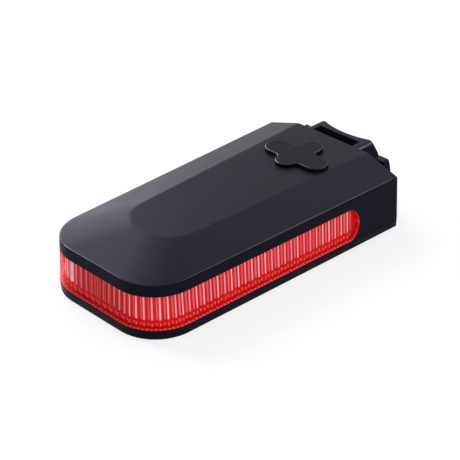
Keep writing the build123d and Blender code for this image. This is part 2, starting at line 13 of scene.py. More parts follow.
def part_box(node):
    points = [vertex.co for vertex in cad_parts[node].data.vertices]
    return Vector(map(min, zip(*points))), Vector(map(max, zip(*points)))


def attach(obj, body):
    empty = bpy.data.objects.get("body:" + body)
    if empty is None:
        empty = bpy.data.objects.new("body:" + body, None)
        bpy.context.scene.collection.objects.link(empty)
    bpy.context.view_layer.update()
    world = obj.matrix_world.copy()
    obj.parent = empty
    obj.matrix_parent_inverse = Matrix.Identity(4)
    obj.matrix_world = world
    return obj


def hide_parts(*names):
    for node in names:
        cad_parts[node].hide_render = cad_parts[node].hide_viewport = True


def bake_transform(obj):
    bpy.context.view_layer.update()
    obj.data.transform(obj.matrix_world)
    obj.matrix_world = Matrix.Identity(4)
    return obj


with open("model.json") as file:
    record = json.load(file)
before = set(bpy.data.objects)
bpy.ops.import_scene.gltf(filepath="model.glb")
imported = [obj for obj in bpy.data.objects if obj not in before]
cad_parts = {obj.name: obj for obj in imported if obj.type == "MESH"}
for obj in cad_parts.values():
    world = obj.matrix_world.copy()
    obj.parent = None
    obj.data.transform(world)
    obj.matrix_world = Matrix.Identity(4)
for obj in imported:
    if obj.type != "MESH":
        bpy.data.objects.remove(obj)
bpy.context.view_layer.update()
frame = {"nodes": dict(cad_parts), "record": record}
MM = 0.001

# %% [markdown]
# A camera could be pushed about by hand. It is easier to aim by facts: the point it looks at, its
# distance, bearing, height angle and roll. A long lens from well off keeps the far edges nearly
# parallel.

# %% Camera
AIM = Vector((-2.18, -2.545, 6.0)) * MM
DISTANCE = 259.9 * MM
BEARING, HEIGHT, ROLL = (math.radians(angle) for angle in (44.06, 30.511, -0.4986))
SENSOR_WIDTH, LENS_LENGTH = 36.0, 111.35
CLIP_NEAR, CLIP_FAR = 0.01, 10.0
look = Vector((
    math.sin(BEARING) * math.cos(HEIGHT), math.cos(BEARING) * math.cos(HEIGHT), -math.sin(HEIGHT),
))
data = bpy.data.cameras.new("camera")
data.sensor_width, data.lens = SENSOR_WIDTH, LENS_LENGTH
data.clip_start, data.clip_end = CLIP_NEAR, CLIP_FAR
camera = bpy.data.objects.new("camera", data)
bpy.context.scene.collection.objects.link(camera)
place = Matrix.Translation(AIM - look * DISTANCE)
turn = look.to_track_quat("-Z", "Y").to_matrix().to_4x4()
camera.matrix_world = place @ turn @ Matrix.Rotation(ROLL, 4, "Z")
bpy.context.scene.camera = camera
print("camera at", [round(v / MM, 1) for v in camera.location])

# %% [markdown]
# Satin black plastic shows little but what it mirrors, so each lamp stands where a mirror on one
# face would look: two behind, one at the far left, one over the post end, one for the near brow and
# one for the near side. Weak lamps keep a colour about as written.

# %% Lamps
COOL_WHITE = (0.84, 0.85, 1.0)
LAMPS = {  # bearing from +X and height in degrees, distance, width and tallness in metres, watts
    "back_lamp": (79, 20, 0.60, 0.48, 0.36, 1.75),
    "high_lamp": (80, 42, 0.50, 0.26, 0.24, 0.85),
    "left_lamp": (108, 38, 0.50, 0.10, 0.18, 1.2),
    "top_lamp": (14, 50, 0.60, 0.30, 0.30, 0.4),
    "edge_lamp": (330, 46, 0.50, 0.24, 0.14, 0.45),
    "front_lamp": (266, 36, 0.60, 0.45, 0.30, 1.15),
}


def area_lamp(name, bearing, height, distance, width, tall, watts):
    """A soft cool-white lamp, aimed at the origin."""
    data = bpy.data.lights.new(name, "AREA")
    data.shape = "RECTANGLE"
    data.size, data.size_y = width, tall
    data.energy = watts
    data.color = COOL_WHITE
    lamp = bpy.data.objects.new(name, data)
    bpy.context.scene.collection.objects.link(lamp)
    turn, rise = math.radians(bearing), math.radians(height)
    place = distance * Vector((
        math.cos(turn) * math.cos(rise), math.sin(turn) * math.cos(rise), math.sin(rise),
    ))
    lamp.location = place
    lamp.rotation_euler = (-place).to_track_quat("-Z", "Y").to_euler()


for name, numbers in LAMPS.items():
    area_lamp(name, *numbers)
print("lamps:", len(bpy.data.lights))

# %% [markdown]
# The world lights the object from all round, at half strength. A background that dim would look
# grey, and more lamps would bleach the object, so a Light Path node gives the camera, glossy faces
# and clear plastic full white instead.

# %% World
WORLD_LIGHT = 0.5
world = bpy.data.worlds.new("studio")
bpy.context.scene.world = world
world.use_nodes = True
sky = world.node_tree
background = sky.nodes["Background"]
background.inputs["Color"].default_value = (1, 1, 1, 1)
rays = sky.nodes.new("ShaderNodeLightPath").outputs
looked_at = rays["Is Camera Ray"]
for kind in ("Is Glossy Ray", "Is Transmission Ray"):
    either = sky.nodes.new("ShaderNodeMath")
    either.operation = "MAXIMUM"
    sky.links.new(looked_at, either.inputs[0])
    sky.links.new(rays[kind], either.inputs[1])
    looked_at = either.outputs[0]
strength = sky.nodes.new("ShaderNodeMapRange")
strength.inputs["To Min"].default_value = WORLD_LIGHT
sky.links.new(looked_at, strength.inputs["Value"])
sky.links.new(strength.outputs[0], background.inputs["Strength"])
bpy.context.scene.view_settings.view_transform = "Standard"
print("world light on the object:", WORLD_LIGHT)

# %% [markdown]
# Colours are easiest to judge as the eye reads them, from 0 to 255, but a shader needs linear
# numbers. A second helper makes a colour darker or brighter, because no real surface has one tone
# all over.

# %% Colours
BLACK, WHITE = (0, 0, 0, 1), (1, 1, 1, 1)


def srgb(red, green, blue):
    """Linear numbers of a colour that is given as the eye reads it."""
    def linear(value):
        share = value / 255
        return share / 12.92 if share <= 0.04045 else ((share + 0.055) / 1.055) ** 2.4
    return (linear(red), linear(green), linear(blue), 1.0)


def scaled(colour, share):
    return (*(min(part * share, 1.0) for part in colour[:3]), 1.0)


print("middle grey is", round(srgb(128, 128, 128)[0], 3))

# %% [markdown]
# A finish is more than a colour: plastic copies the grain of its mould, and metal shows how it was
# made. Each is a small graph of nodes, with fine noise for grain and broad noise for unevenness. In
# code, the parts they share are written once.

# %% A short way to build a material
NOISE_LOW, NOISE_HIGH = 0.3, 0.7
BEVEL_SAMPLES = 6


class Finish:
    """A material's graph; add() makes a node, sets it up and joins it in one line."""

    def __init__(self, name):
        self.material = bpy.data.materials.new(name)
        self.material.use_nodes = True
        self.tree = self.material.node_tree
        self.tree.nodes.clear()
        self.place = self.add("TexCoord").outputs["Object"]

    def add(self, kind, joins=(), **settings):
        node = self.tree.nodes.new("ShaderNode" + kind)
        for key, value in settings.items():
            setattr(node, key, value)
        for key, value in dict(joins).items():
            if isinstance(value, bpy.types.NodeSocket):
                self.tree.links.new(value, node.inputs[key])
            else:
                node.inputs[key].default_value = value
        return node

    def math(self, operation, *values):
        return self.add("Math", enumerate(values), operation=operation).outputs[0]

    def noise(self, size, detail=3.0, stretch=None):
        """Noise with features of about one size, in millimetres."""
        place = self.place
        if stretch:
            place = self.add("Mapping", {"Vector": place, "Scale": stretch}).outputs[0]
        joins = {"Vector": place, "Scale": 1 / (size * MM), "Detail": detail}
        return self.add("TexNoise", joins).outputs["Fac"]

    def ramp(self, share, *bands):
        """Colours along a line; a band is a colour and the places where it begins and ends."""
        stops = [(place, colour) for colour, *places in bands for place in places]
        node = self.add("ValToRGB", {"Fac": share})
        line = node.color_ramp.elements
        line[0].position, line[0].color = stops[0]
        line[1].position, line[1].color = stops[-1]
        for place, colour in stops[1:-1]:
            line.new(place).color = colour
        return node.outputs["Color"]

    def blend(self, share, low, high):
        """A colour from low to high; 6 and 7 are the Mix node's colour sockets."""
        return self.add("Mix", {0: share, 6: low, 7: high}, data_type="RGBA").outputs[2]

    def levels(self, share, low, high):
        """Noise as a number between low and high."""
        joins = {"Value": share, "From Min": NOISE_LOW, "From Max": NOISE_HIGH}
        joins |= {"To Min": low, "To Max": high}
        return self.add("MapRange", joins).outputs[0]

    def step(self, value, low, high):
        """A smooth step from 0 at low to 1 at high."""
        joins = {"Value": value, "From Min": low, "From Max": high}
        return self.add("MapRange", joins, interpolation_type="SMOOTHSTEP").outputs[0]

    def bump(self, height, depth, rounding=0.0):
        """A rough normal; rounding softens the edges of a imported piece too."""
        joins = {"Height": height, "Distance": depth * MM}
        if rounding:
            bevel = self.add("Bevel", {"Radius": rounding * MM}, samples=BEVEL_SAMPLES)
            joins["Normal"] = bevel.outputs[0]
        return self.add("Bump", joins).outputs[0]

    def close(self, shader):
        """Joins the shader to the output."""
        self.add("OutputMaterial", {"Surface": shader.outputs[0]})
        return self.material

    def surface(self, colour, rough, **more):
        """Closes the graph with a Principled shader; more names others of its sockets."""
        joins = {"Base Color": colour, "Roughness": rough}
        joins |= {socket.replace("_", " "): value for socket, value in more.items()}
        return self.close(self.add("BsdfPrincipled", joins))


print("noise is read between", NOISE_LOW, "and", NOISE_HIGH)

# %% [markdown]
# Plastic and rubber leave a mould in one colour with a fine grain, and their tone and shine vary
# over a few millimetres. One function makes them all. A Bevel node softens edges in the shading
# only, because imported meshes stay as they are.

# %% Moulded plastic and rubber
def moulded(
    name, colour, rough, grain, depth, mottle=0.08, level=0.5, rounding=0.08,
    patch=3.5, spread=0.04, tint=WHITE, shade=None,
):
    """A grain, uneven tone and uneven shine; shade may darken part of the tone further."""
    look = Finish(name)
    broad = look.noise(patch, 4.0)
    dark, bright = scaled(colour, 1 - mottle), scaled(colour, 1 + mottle)
    tone = look.ramp(broad, (dark, 0.35), (bright, 0.65))
    return look.surface(
        shade(look, tone) if shade else tone, look.levels(broad, rough - spread, rough + spread),
        Specular_IOR_Level=level, Specular_Tint=tint,
        Normal=look.bump(look.noise(grain, 2.0), depth, rounding),
    )


RUBBER_AND_PLASTIC = {  # colour, roughness, grain, its depth, mottling and specular level
    "seal_rubber": ((0.020, 0.020, 0.022), 0.62, 0.25, 0.010, 0.12, 0.3),
    "black_plastic": ((0.012, 0.012, 0.013), 0.42, 0.20, 0.006, 0.10, 0.4),
    "chip_plastic": ((0.018, 0.018, 0.019), 0.55, 0.12, 0.008, 0.12, 0.4),
    "white_plastic": (srgb(236, 235, 230), 0.35, 0.30, 0.004, 0.03),
    "diode_body": (srgb(238, 226, 178), 0.30, 0.40, 0.004, 0.05),
    "red_sleeve": (srgb(190, 22, 20), 0.45, 0.25, 0.005, 0.08),
    "black_sleeve": ((0.014, 0.014, 0.015), 0.45, 0.25, 0.005, 0.08),
    "coil_ferrite": ((0.045, 0.043, 0.042), 0.60, 0.15, 0.012, 0.15),
    "capacitor_ceramic": (srgb(166, 128, 92), 0.40, 0.20, 0.006, 0.10),
    "strip_film": (srgb(228, 226, 218), 0.32, 0.50, 0.004, 0.04),
}
finishes = {name: moulded(name, *numbers) for name, numbers in RUBBER_AND_PLASTIC.items()}
print("plastics and rubbers:", len(finishes))

# %% [markdown]
# The case is one black plastic, yet its sides look darker than its top and its turned edges catch a
# bright line. An exported model keeps one shine per material, so there are three finishes, chosen
# by how far a face leans: a lit copy with more shine paints a highlight on the turned edges, and a
# shaded copy with less shine darkens the upright sides. The lid has its own, with a painted shadow
# line along its top, where it meets the shell.

# %% Case plastic
CASE_BLACK, CASE_SHEEN = (0.0060, 0.0059, 0.0105, 1.0), (0.80, 0.80, 1.0, 1.0)
CASE_GRAIN, CASE_GRAIN_DEPTH, CASE_EDGE, CASE_MOTTLE = 0.16, 0.004, 0.08, 0.1
LID_TOP, SEAM_WIDTH, SEAM_SHADE = 2.0, 0.3, 0.1


def case_plastic(name, shine, rough, rounding=CASE_EDGE, shade=None):
    return moulded(
        name, CASE_BLACK, rough, CASE_GRAIN, CASE_GRAIN_DEPTH, CASE_MOTTLE, shine, rounding,
        spread=0.03, tint=CASE_SHEEN, shade=shade,
    )


def joint_shadow_line(look, tone):
    # Painted shadow: the lid's colour darkens to a thin line at its top, where it meets the shell.
    height = look.add("SeparateXYZ", {0: look.place}).outputs[2]
    start, end = (LID_TOP - SEAM_WIDTH) * MM, (LID_TOP - SEAM_WIDTH / 2) * MM
    joins = {"Value": height, "From Min": start, "From Max": end}
    shadow = look.add("MapRange", joins).outputs[0]
    return look.blend(shadow, tone, scaled(CASE_BLACK, SEAM_SHADE))


# The second finish is a lit copy that paints a highlight on turned edges; the third is a shaded
# copy for upright sides.
case_finishes = (
    case_plastic("case_plastic", 0.080, 0.36),
    case_plastic("case_edge_highlight", 0.40, 0.17),
    case_plastic("case_side_shaded", 0.030, 0.38),
)
lid_finish = case_plastic("lid_plastic", 0.034, 0.36, 0.0, joint_shadow_line)
finishes["case_plastic"] = case_finishes[0]
print("case finishes:", len(case_finishes) + 1)

# %% [markdown]
# The rubber cover is nearly black and duller than the case. Its turned edge is a lit copy, smoother
# and with more shine than its top, which paints a thin line of light there, so it has three
# finishes too.

# %% Cover rubber
RUBBER_BLACK = (0.0035, 0.0035, 0.0048, 1.0)
RUBBER_GRAIN, RUBBER_GRAIN_DEPTH, RUBBER_MOTTLE, RUBBER_EDGE = 0.3, 0.006, 0.15, 0.12
RUBBER_KINDS = {  # shine and roughness
    "cover_rubber": (0.06, 0.48), "cover_edge_highlight": (0.45, 0.26), "cover_side": (0.05, 0.50),
}
cover_finishes = [
    moulded(
        name, RUBBER_BLACK, rough, RUBBER_GRAIN, RUBBER_GRAIN_DEPTH, RUBBER_MOTTLE, shine,
        RUBBER_EDGE, patch=2.5, spread=0.03,
    )
    for name, (shine, rough) in RUBBER_KINDS.items()
]
finishes["cover_rubber"] = cover_finishes[0]
print("cover finishes:", len(cover_finishes))

# %% [markdown]
# Tinned sheet and plated contacts are drawn, which leaves faint streaks, and screws keep the marks
# of turning. They are too fine to model, so noise stretched along one axis gives them as tone,
# roughness and a slight bump.

# %% Drawn and turned metal
STREAK_SIZE, STREAK_EDGE = 0.25, 0.05


def drawn_metal(name, colour, rough, stretch, depth):
    look = Finish(name)
    streaks = look.noise(STREAK_SIZE, 3.0, stretch)
    dark, bright = scaled(colour, 0.85), scaled(colour, 1.1)
    return look.surface(
        look.ramp(streaks, (dark, NOISE_LOW), (bright, NOISE_HIGH)),
        look.levels(streaks, rough - 0.06, rough + 0.08),
        Metallic=1.0, Normal=look.bump(streaks, depth, STREAK_EDGE),
    )


METALS = {  # colour, roughness, stretch along the axes, and depth of the streaks
    "tinned_steel": (srgb(196, 196, 192), 0.30, (1, 1, 0.08), 0.004),
    "screw_steel": (srgb(176, 178, 182), 0.32, (0.3, 1, 1), 0.006),
    "contact_gold": (srgb(226, 182, 92), 0.24, (1, 1, 0.1), 0.003),
}
finishes |= {name: drawn_metal(name, *numbers) for name, numbers in METALS.items()}
print("metals:", len(METALS))

# %% [markdown]
# The cell has a softly creased aluminium pouch and rests between strips of foam. Broad noise makes
# the creases, painted darker in their hollows as shade, and Voronoi cells the open bubbles, painted
# darker where they go deep, as shade. Nobody sees them closely enough to model them.

# %% Cell foil and foam
FOIL_CREASE, FOIL_GRAIN, FOIL_DEPTH, FOIL_EDGE = 6.0, 0.6, 0.25, 0.1
FOAM_CELL, FOAM_DEPTH = 0.45, 0.12


def creased_foil():
    look, foil = Finish("cell_foil"), srgb(198, 200, 204)
    crease = look.noise(FOIL_CREASE, 5.0, (1.0, 0.6, 1.0))
    # Painted shade: the foil darkens where the crease noise is low, in the hollows of the creases.
    return look.surface(
        look.ramp(crease, (scaled(foil, 0.8), NOISE_LOW), (foil, NOISE_HIGH)),
        look.levels(look.noise(FOIL_GRAIN, 2.0), 0.28, 0.42),
        Metallic=0.85, Normal=look.bump(crease, FOIL_DEPTH, FOIL_EDGE),
    )


def open_foam():
    look, foam = Finish("foam"), srgb(58, 58, 60)
    joins = {"Vector": look.place, "Scale": 1 / (FOAM_CELL * MM)}
    cells = look.add("TexVoronoi", joins).outputs["Distance"]
    # Painted shade: each bubble darkens towards its middle, where it goes deep.
    return look.surface(
        look.ramp(cells, (scaled(foam, 0.55), 0.1), (foam, 0.6)), look.levels(cells, 0.85, 0.95),
        Specular_IOR_Level=0.15, Normal=look.bump(cells, FOAM_DEPTH),
    )


finishes |= {"cell_foil": creased_foil(), "foam": open_foam()}
print("finishes so far:", len(finishes))

# %% [markdown]
# A circuit board is glass cloth with copper tracks under green lacquer. It shows only when the case
# is opened, so brick joints stand for tracks, in patches that broad noise picks. The light pipe is
# a clear pin with a faint flow pattern.

# %% Circuit board and clear plastic
TRACK_SIZE, TRACK_DEPTH, BOARD_PATCH = 2.6, 0.02, 5.0
FLOW_SIZE, FLOW_DEPTH = 1.2, 0.01


def solder_masked_board():
    look = Finish("circuit_board")
    weave = look.add("TexBrick", {
        "Vector": look.place, "Scale": 1 / (TRACK_SIZE * MM), "Mortar Size": 0.035,
        "Mortar Smooth": 0.2, "Brick Width": 0.9, "Row Height": 0.35,
    }).outputs["Fac"]
    broad = look.noise(BOARD_PATCH)
    shown = look.math("MULTIPLY", weave, look.ramp(broad, (BLACK, 0.48), (WHITE, 0.56)))
    return look.surface(
        look.ramp(shown, (srgb(18, 82, 46), 0.0), (srgb(62, 132, 70), 1.0)),
        look.levels(broad, 0.28, 0.40), Normal=look.bump(shown, TRACK_DEPTH),
    )


def clear_pin():
    look = Finish("clear_plastic")
    flow = look.noise(FLOW_SIZE, 2.0)
    dark, bright = srgb(232, 236, 236), srgb(246, 248, 248)
    return look.surface(
        look.ramp(flow, (dark, NOISE_LOW), (bright, NOISE_HIGH)), look.levels(flow, 0.10, 0.18),
        Transmission_Weight=0.9, Normal=look.bump(flow, FLOW_DEPTH),
    )


finishes |= {"circuit_board": solder_masked_board(), "clear_plastic": clear_pin()}
print("finishes so far:", len(finishes))

# %% [markdown]
# Seen from above, the case is a U: two sides that lean together, two round corners and a short
# straight tip. The raised tongue is a smaller U. One function draws both at any inset, always with
# as many points, so that rings can be joined.

# %% The U of the case and of its raised tongue
CASE = {"near_half": 17.0, "far_half": 14.9, "length": 60.5, "radius": 8.65}
TONGUE = {"near_half": 9.0, "far_half": 6.95, "length": 49.4, "radius": 6.88}
RING_STEPS = (24, 14, 8)  # along a side, round a corner, along the tip


def u_ring(plan, inset=0.0, start=0.0, steps=RING_STEPS):
    """Points (back, side) of a plan's U at an inset, from the right end round the tip."""
    side_steps, arc_steps, tip_steps = steps
    lean = (plan["near_half"] - plan["far_half"]) / plan["length"]
    tilt = math.atan(lean)
    run = math.hypot(1, lean)
    centre_back = plan["length"] - plan["radius"]
    centre_half = plan["near_half"] - centre_back * lean - plan["radius"] * run
    radius = plan["radius"] - inset
    first = (start, plan["near_half"] - start * lean - inset * run)
    bend = (centre_back + radius * math.sin(tilt), centre_half + radius * math.cos(tilt))
    half = [
        tuple(a + (b - a) * k / side_steps for a, b in zip(first, bend)) for k in range(side_steps)
    ]
    for k in range(arc_steps + 1):
        turn = tilt + (math.pi / 2 - tilt) * k / arc_steps
        half.append((centre_back + radius * math.sin(turn), centre_half + radius * math.cos(turn)))
    tip = [
        (centre_back + radius, centre_half * (1 - 2 * k / tip_steps)) for k in range(1, tip_steps)
    ]
    return [(back, -side) for back, side in half + tip] + half[::-1]


print("points in a ring:", len(u_ring(CASE)))

# %% [markdown]
# A ring is lifted to its height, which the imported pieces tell. The tongue falls slightly towards
# the tip, so its height is a function. Rings are joined by four-sided faces into a solid, and a
# prism is one outline at two levels.

# %% Rings and solids
MOUNT_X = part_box("front_cover")[1].x / MM
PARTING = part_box("rear_housing")[0].z / MM
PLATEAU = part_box("rear_housing")[1].z / MM
PLATEAU_FALL = 0.35


def plateau_height(back):
    return PLATEAU - PLATEAU_FALL * back / TONGUE["length"]


def lift(ring, height):
    """A ring of (back, side) as points in metres; height is a number or a function of back."""
    level = height if callable(height) else (lambda back: height)
    return [Vector((MOUNT_X - back, side, level(back))) * MM for back, side in ring]


def object_from(name, mesh):
    """A scene object from a bmesh, which is freed."""
    data = bpy.data.meshes.new(name)
    mesh.to_mesh(data)
    mesh.free()
    made = bpy.data.objects.new(name, data)
    bpy.context.scene.collection.objects.link(made)
    return made


def skin_rows(mesh, rows):
    """Faces between closed rows of points, and a cap at both ends."""
    count = len(rows[0])
    for low, high in zip(rows, rows[1:]):
        for k in range(count):
            nxt = (k + 1) % count
            mesh.faces.new((low[k], low[nxt], high[nxt], high[k]))
    mesh.faces.new(list(reversed(rows[0])))
    mesh.faces.new(rows[-1])


def solid_from_rings(name, rings):
    """A closed mesh object: the rings are skinned in order and both ends capped."""
    mesh = bmesh.new()
    skin_rows(mesh, [[mesh.verts.new(point) for point in ring] for ring in rings])
    bmesh.ops.recalc_face_normals(mesh, faces=mesh.faces)
    return object_from(name, mesh)


def prism_along(name, outline, axis, low, high):
    """A solid from a flat outline pushed along x, y or z, all in millimetres."""
    at = "xyz".index(axis)
    rings = [
        [Vector((*spot[:at], level, *spot[at:])) * MM for spot in outline] for level in (low, high)
    ]
    return solid_from_rings(name, rings)


print("shell from", round(PARTING, 2), "to", round(PLATEAU, 2), "mm")

# %% [markdown]
# A pocket is a second solid, cut away with a Boolean modifier whose result becomes the object's own
# mesh. A Bevel modifier gives sharp edges the small round of a moulding. Smooth shading alone makes
# flats look swollen, so Weighted Normal lets the largest face decide.

# %% Cutting, joining and softened edges
EDGE_ANGLE, EDGE_SIDES = 30.0, 2


def bake_modifiers(target):
    """The modified mesh becomes the object's own mesh."""
    graph = bpy.context.evaluated_depsgraph_get()
    graph.update()
    data = bpy.data.meshes.new_from_object(target.evaluated_get(graph), depsgraph=graph)
    target.modifiers.clear()
    target.data = data


def combine(target, tool, operation):
    """Cuts or joins target with tool, and removes the tool."""
    change = target.modifiers.new(operation.lower(), "BOOLEAN")
    change.operation = operation
    change.object = tool
    change.solver = "EXACT"
    bake_modifiers(target)
    bpy.data.objects.remove(tool)


def smooth(target, angle):
    """Smooth shading that stops at edges sharper than the angle."""
    target.data.polygons.foreach_set("use_smooth", [True] * len(target.data.polygons))
    target.data.set_sharp_from_angle(angle=math.radians(angle))


def soften(target, width):
    """Rounds the sharp edges and shades the rest smooth, with flat faces kept flat."""
    bevel = target.modifiers.new("edges", "BEVEL")
    bevel.width = width * MM
    bevel.segments = EDGE_SIDES
    bevel.limit_method = "ANGLE"
    bevel.angle_limit = math.radians(EDGE_ANGLE)
    bevel.use_clamp_overlap = True
    bake_modifiers(target)
    smooth(target, EDGE_ANGLE)
    target.modifiers.new("even", "WEIGHTED_NORMAL").keep_sharp = True
    bake_modifiers(target)


print("edges over", EDGE_ANGLE, "degrees are rounded")

# %% [markdown]
# The outside goes up the wall, turns over a small brow, slopes to the tongue and turns over a
# softer crease. Both turns are short curves of rings, because a bevel would make them equally wide.

# %% The shell's outer skin
WALL_DRAFT, BROW_HEIGHT = 0.45, 10.55
BROW_CONTROL, SHOULDER = (0.47, 10.74), (0.72, 10.81)
CREASE_REACH, CURVE_STEPS = 0.38, 4


def curve_between(first, control, last):
    """Rings that turn smoothly from one ring to another round a control ring."""
    rings = []
    for k in range(1, CURVE_STEPS + 1):
        t = k / CURVE_STEPS
        rings.append([
            a * (1 - t) ** 2 + b * 2 * t * (1 - t) + c * t * t
            for a, b, c in zip(first, control, last)
        ])
    return rings


def shell_outside():
    levels = ((0.0, PARTING), (WALL_DRAFT, BROW_HEIGHT), BROW_CONTROL, SHOULDER)
    foot, brow, control, shoulder = (lift(u_ring(CASE, inset), high) for inset, high in levels)
    crease, flat = (lift(u_ring(TONGUE, inset), plateau_height) for inset in (0.0, CREASE_REACH))
    before = [c + (s - c).normalized() * CREASE_REACH * MM for c, s in zip(crease, shoulder)]
    rings = [foot, brow, *curve_between(brow, control, shoulder), before]
    rings += curve_between(before, crease, flat)
    return solid_from_rings("case_shell", rings)


shell = shell_outside()
print("outer skin faces:", len(shell.data.polygons))

# %% [markdown]
# The square end sits against the seat post: a thin block with an ear at each side, over which a
# strap is stretched. Block, ears and the round of the post are each one outline pushed straight, so
# three prisms make it. Outlines are written as corners, which a helper turns with small arcs.

# %% Saddle block and ears
BLOCK_HALF_LOW, BLOCK_HALF_TOP, BLOCK_STEP = 8.2, 6.4, 11.05
BLOCK_ROUND, BLOCK_SINK, HOOK_REACH = 1.4, 0.8, 4.3
EAR_THICK, EAR_HALF, EAR_BULGE, EAR_ROUND = 1.6, 10.4, 1.1, 0.7
EAR_STEPS, EAR_SHARE = 12, 0.97
SADDLE_RADIUS, BAR_REACH, POST_STEPS = 16.7, 3.3, 144
OVERCUT, CORNER_STEPS = 2, 5


def rounded(corners, radii):
    """The corners turned by arcs; those with radius 0 stay sharp."""
    points = []
    count = len(corners)
    for k, (here, size) in enumerate(zip(corners, radii)):
        here = Vector(here)
        if size <= 0:
            points.append(tuple(here))
            continue
        to_last = (Vector(corners[k - 1]) - here).normalized()
        to_next = (Vector(corners[(k + 1) % count]) - here).normalized()
        half = to_last.angle(to_next) / 2
        reach = size / math.tan(half)
        centre = here + (to_last + to_next).normalized() * size / math.sin(half)
        first, last = here + to_last * reach - centre, here + to_next * reach - centre
        sweep = math.atan2(first.x * last.y - first.y * last.x, first.dot(last))
        for step in range(CORNER_STEPS + 1):
            turn = sweep * step / CORNER_STEPS
            points.append((
                centre.x + first.x * math.cos(turn) - first.y * math.sin(turn),
                centre.y + first.x * math.sin(turn) + first.y * math.cos(turn),
            ))
    return points


def saddle_block():
    corners = [
        (-BLOCK_HALF_LOW, PARTING), (BLOCK_HALF_LOW, PARTING), (BLOCK_HALF_LOW, BLOCK_STEP),
        (BLOCK_HALF_TOP, PLATEAU), (-BLOCK_HALF_TOP, PLATEAU), (-BLOCK_HALF_LOW, BLOCK_STEP),
    ]
    outline = rounded(corners, [0, 0, EAR_ROUND, BLOCK_ROUND, BLOCK_ROUND, EAR_ROUND])
    end = MOUNT_X + HOOK_REACH
    block = prism_along("block", outline, "x", MOUNT_X - BLOCK_SINK, end)
    middle = (PARTING + BLOCK_STEP) / 2
    ear_height = (BLOCK_STEP - PARTING) / 2
    bulge = [math.pi * (k / EAR_STEPS - 0.5) for k in range(1, EAR_STEPS)]
    side = [
        (EAR_HALF + EAR_BULGE * math.cos(a), middle + ear_height * math.sin(a) * EAR_SHARE)
        for a in bulge
    ]
    both = [*side, *[(-y, z) for y, z in reversed(side)]]
    combine(block, prism_along("ears", both, "x", end - EAR_THICK, end), "UNION")
    centre = MOUNT_X + BAR_REACH + SADDLE_RADIUS
    round_post = [
        (centre + SADDLE_RADIUS * math.cos(a), SADDLE_RADIUS * math.sin(a))
        for a in (2 * math.pi * k / POST_STEPS for k in range(POST_STEPS))
    ]
    combine(block, prism_along("post", round_post, "z", 0, PLATEAU + OVERCUT), "DIFFERENCE")
    return block


combine(shell, saddle_block(), "UNION")
print("shell with its saddle:", len(shell.data.polygons), "faces")

# %% [markdown]
# A slot for the strap runs through behind the saddle. Inside is one room with a sloping roof. A
# long window holds the lens, and a rounded port is for charging. The cutting solids stand past the
# shell, because a cut that ends on a face can leave slivers. Edges are rounded last, to soften the
# rims.

# %% Strap slot, room, window and port
SLOT_LENGTH, SLOT_WIDTH = 10.2, 2.25
WALL, END_WALL = 1.4, 1.6
ROOM_EAVES, ROOM_ROOF, ROOM_BELOW = (1.85, 9.75), (6.35, 11.05), 1
LENS_TOP, LENS_MIDDLE = 8.55, 5.2
LENS_END_BACK, LENS_CORNER_BACK = 10.2, 12.6
WINDOW_STEPS, WINDOW_PAST, WINDOW_HALF_CUT = 24, 3, 20
PORT_BACK, PORT_SIDE, PORT_CUT_LOW = 10.9, -0.7, 9
PORT_LENGTH, PORT_WIDTH, PORT_CORNER = 9.2, 4.2, 1.2
SHELL_EDGE = 0.12


def window_arc():
    """The lens's half height, how far its end bulges, and the radius of that bulge."""
    half = LENS_TOP - LENS_MIDDLE
    sag = LENS_CORNER_BACK - LENS_END_BACK
    return half, sag, (half * half + sag * sag) / (2 * sag)


def window_outline():
    """Side view of the lens, with an end that bulges towards the post."""
    half, _, radius = window_arc()
    centre = LENS_END_BACK + radius
    reach = math.asin(half / radius)
    end = []
    for k in range(WINDOW_STEPS + 1):
        turn = reach * (1 - 2 * k / WINDOW_STEPS)
        side, rise = radius * math.cos(turn), radius * math.sin(turn)
        end.append((MOUNT_X - centre + side, LENS_MIDDLE + rise))
    far = MOUNT_X - CASE["length"] - WINDOW_PAST
    return [*end, (far, LENS_MIDDLE - half), (far, LENS_MIDDLE + half)]


def room_solid():
    stages = ((WALL, PARTING - ROOM_BELOW), (WALL, PARTING), ROOM_EAVES, ROOM_ROOF)
    rings = [lift(u_ring(CASE, inset, END_WALL), height) for inset, height in stages]
    return solid_from_rings("room", rings)


def port_outline(shrink=0.0):
    x, y = MOUNT_X - PORT_BACK, PORT_SIDE
    a, b = PORT_WIDTH / 2 - shrink, PORT_LENGTH / 2 - shrink
    corners = [(x - a, y - b), (x + a, y - b), (x + a, y + b), (x - a, y + b)]
    return rounded(corners, [PORT_CORNER - shrink] * 4)


near, far, half = MOUNT_X, MOUNT_X + SLOT_WIDTH, SLOT_LENGTH / 2
slot_outline = [(near, -half), (far, -half), (far, half), (near, half)]
slot = prism_along("slot", slot_outline, "z", 0, PLATEAU + OVERCUT)
window = prism_along("window", window_outline(), "y", -WINDOW_HALF_CUT, WINDOW_HALF_CUT)
port = prism_along("port", port_outline(), "z", PORT_CUT_LOW, PLATEAU + OVERCUT)
for hollow in (slot, room_solid(), window, port):
    combine(shell, hollow, "DIFFERENCE")
soften(shell, SHELL_EDGE)
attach(shell, "case")
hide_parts("rear_housing")
print("case shell:", len(shell.data.polygons), "faces")

# %% [markdown]
# The lens is clear red plastic with upright flutes on its inner face, which spread the light of the
# diodes. They show behind the smooth outside, so there are a see-through skin and a fluted wall.
# For evenly spaced flutes, the U is walked in even steps.

# %% Even steps along the U
PATH_STEPS = (60, 60, 20)
LENS_STEP, LENS_END_GAP = 0.2, 0.06


